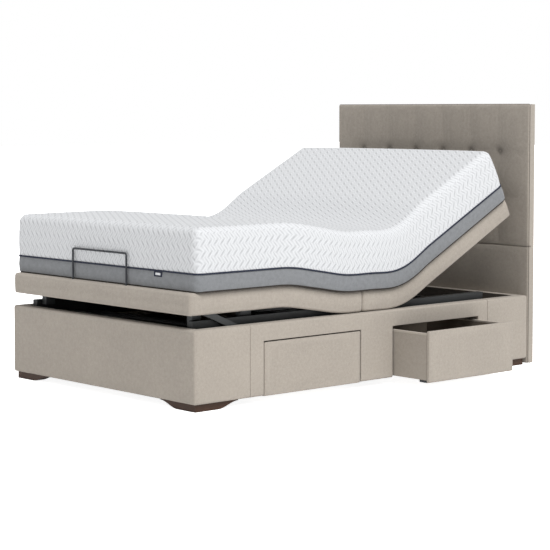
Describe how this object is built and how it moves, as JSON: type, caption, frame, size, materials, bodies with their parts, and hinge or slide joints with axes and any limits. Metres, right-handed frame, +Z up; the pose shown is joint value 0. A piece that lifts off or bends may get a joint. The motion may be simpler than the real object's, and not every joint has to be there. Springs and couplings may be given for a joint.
{
  "type": "adjustable bed base",
  "caption": "Upholstered adjustable divan bed with side drawers, electric back and leg sections, fitted mattress, retainer bar and buttoned headboard.",
  "frame": {"origin": "on the floor under the middle of the bed, at the centre foot's bottom face", "axes": "+Z up, +Y from the foot end to the headboard, +X towards the side with the open drawer"},
  "size_m": [1.4, 1.9458, 1.15],
  "materials": {
    "beige_fabric": "matte",
    "tray_lining": "matte",
    "mattress_knit": "matte",
    "dark_wood": "satin",
    "brown_board": "matte",
    "dark_plastic": "matte",
    "dark_bar": "satin",
    "blue_grey_steel": "satin"
  },
  "bodies": {
    "base": {"side_wall_right": "beige_fabric", "side_wall_left": "beige_fabric", "foot_wall": "beige_fabric", "head_wall": "beige_fabric", "partition_1": "brown_board", "partition_2": "brown_board", "partition_3": "brown_board", "partition_4": "brown_board", "floor_beam": "brown_board", "foot_front_right": "dark_wood", "foot_front_left": "dark_wood", "foot_back_right": "dark_wood", "foot_back_left": "dark_wood", "foot_centre": "dark_wood", "frame_rail_right": "blue_grey_steel", "frame_rail_left": "blue_grey_steel", "cross_tube_foot": "blue_grey_steel", "cross_tube_head": "blue_grey_steel", "back_actuator": "dark_plastic", "leg_actuator": "dark_plastic", "control_box": "dark_plastic", "seat_board": "brown_board", "seat_cover_foot": "beige_fabric", "seat_cover_head": "beige_fabric", "mattress_seat": "mattress_knit", "headboard_board": "beige_fabric", "headboard_upper_pad": "beige_fabric", "headboard_lower_pad": "beige_fabric"},
    "back": {"back_board": "brown_board", "back_cover": "beige_fabric", "mattress_back": "mattress_knit", "back_crank": "blue_grey_steel"},
    "thigh": {"thigh_board": "brown_board", "thigh_cover": "beige_fabric", "mattress_thigh": "mattress_knit", "thigh_crank": "blue_grey_steel", "thigh_arm_right": "blue_grey_steel", "thigh_arm_left": "blue_grey_steel"},
    "calf": {"calf_board": "brown_board", "calf_cover": "beige_fabric", "mattress_calf": "mattress_knit", "calf_rail_right": "blue_grey_steel", "calf_rail_left": "blue_grey_steel", "calf_cross_tube": "blue_grey_steel", "retainer_bar": "dark_bar"},
    "lift_props": {"lift_prop_right": "blue_grey_steel", "lift_prop_left": "blue_grey_steel", "prop_shaft": "blue_grey_steel"},
    "back_rod": {"back_push_rod": "blue_grey_steel"},
    "leg_rod": {"leg_push_rod": "blue_grey_steel"},
    "drawer_foot_right": {"drawer_foot_right_front": "beige_fabric", "drawer_foot_right_tray": "tray_lining"},
    "drawer_foot_left": {"drawer_foot_left_front": "beige_fabric", "drawer_foot_left_tray": "tray_lining"},
    "drawer_head_right": {"drawer_head_right_front": "beige_fabric", "drawer_head_right_tray": "tray_lining"},
    "drawer_head_left": {"drawer_head_left_front": "beige_fabric", "drawer_head_left_tray": "tray_lining"}
  },
  "joints": [
    {"name": "back_lift", "type": "hinge", "parent": "base", "child": "back", "pos_m": [0, 0.168, 0.334], "axis": [1, 0, 0], "range_deg": [-27.5, 32.5]},
    {"name": "leg_lift", "type": "hinge", "parent": "base", "child": "thigh", "pos_m": [0, -0.172, 0.334], "axis": [-1, 0, 0], "range_deg": [-9.5, 18.5]},
    {"name": "knee_bend", "type": "hinge", "parent": "thigh", "child": "calf", "pos_m": [0, -0.47183, 0.38417], "axis": [-1, 0, 0], "range_deg": [-18.6, 9.6]},
    {"name": "prop_swing", "type": "hinge", "parent": "base", "child": "lift_props", "pos_m": [0, -0.635, 0.27], "axis": [-1, 0, 0], "range_deg": [-13.6, 26.4]},
    {"name": "back_push", "type": "slide", "parent": "base", "child": "back_rod", "axis": [0, 1, 0], "range_m": [-0.0505, 0.0597]},
    {"name": "leg_push", "type": "slide", "parent": "base", "child": "leg_rod", "axis": [0, -1, 0], "range_m": [-0.0181, 0.0353]},
    {"name": "drawer_foot_right_slide", "type": "slide", "parent": "base", "child": "drawer_foot_right", "axis": [1, 0, 0], "range_m": [0, 0.35]},
    {"name": "drawer_foot_left_slide", "type": "slide", "parent": "base", "child": "drawer_foot_left", "axis": [-1, 0, 0], "range_m": [0, 0.35]},
    {"name": "drawer_head_right_slide", "type": "slide", "parent": "base", "child": "drawer_head_right", "axis": [1, 0, 0], "range_m": [-0.2, 0.15]},
    {"name": "drawer_head_left_slide", "type": "slide", "parent": "base", "child": "drawer_head_left", "axis": [-1, 0, 0], "range_m": [0, 0.35]}
  ],
  "couplings": [
    {"joint": "knee_bend", "follows": "leg_lift", "ratio": -1},
    {"joint": "prop_swing", "follows": "leg_lift", "ratio": 1.42},
    {"joint": "back_push", "follows": "back_lift", "m_per_rad": 0.10504},
    {"joint": "leg_push", "follows": "leg_lift", "m_per_rad": 0.10891}
  ]
}
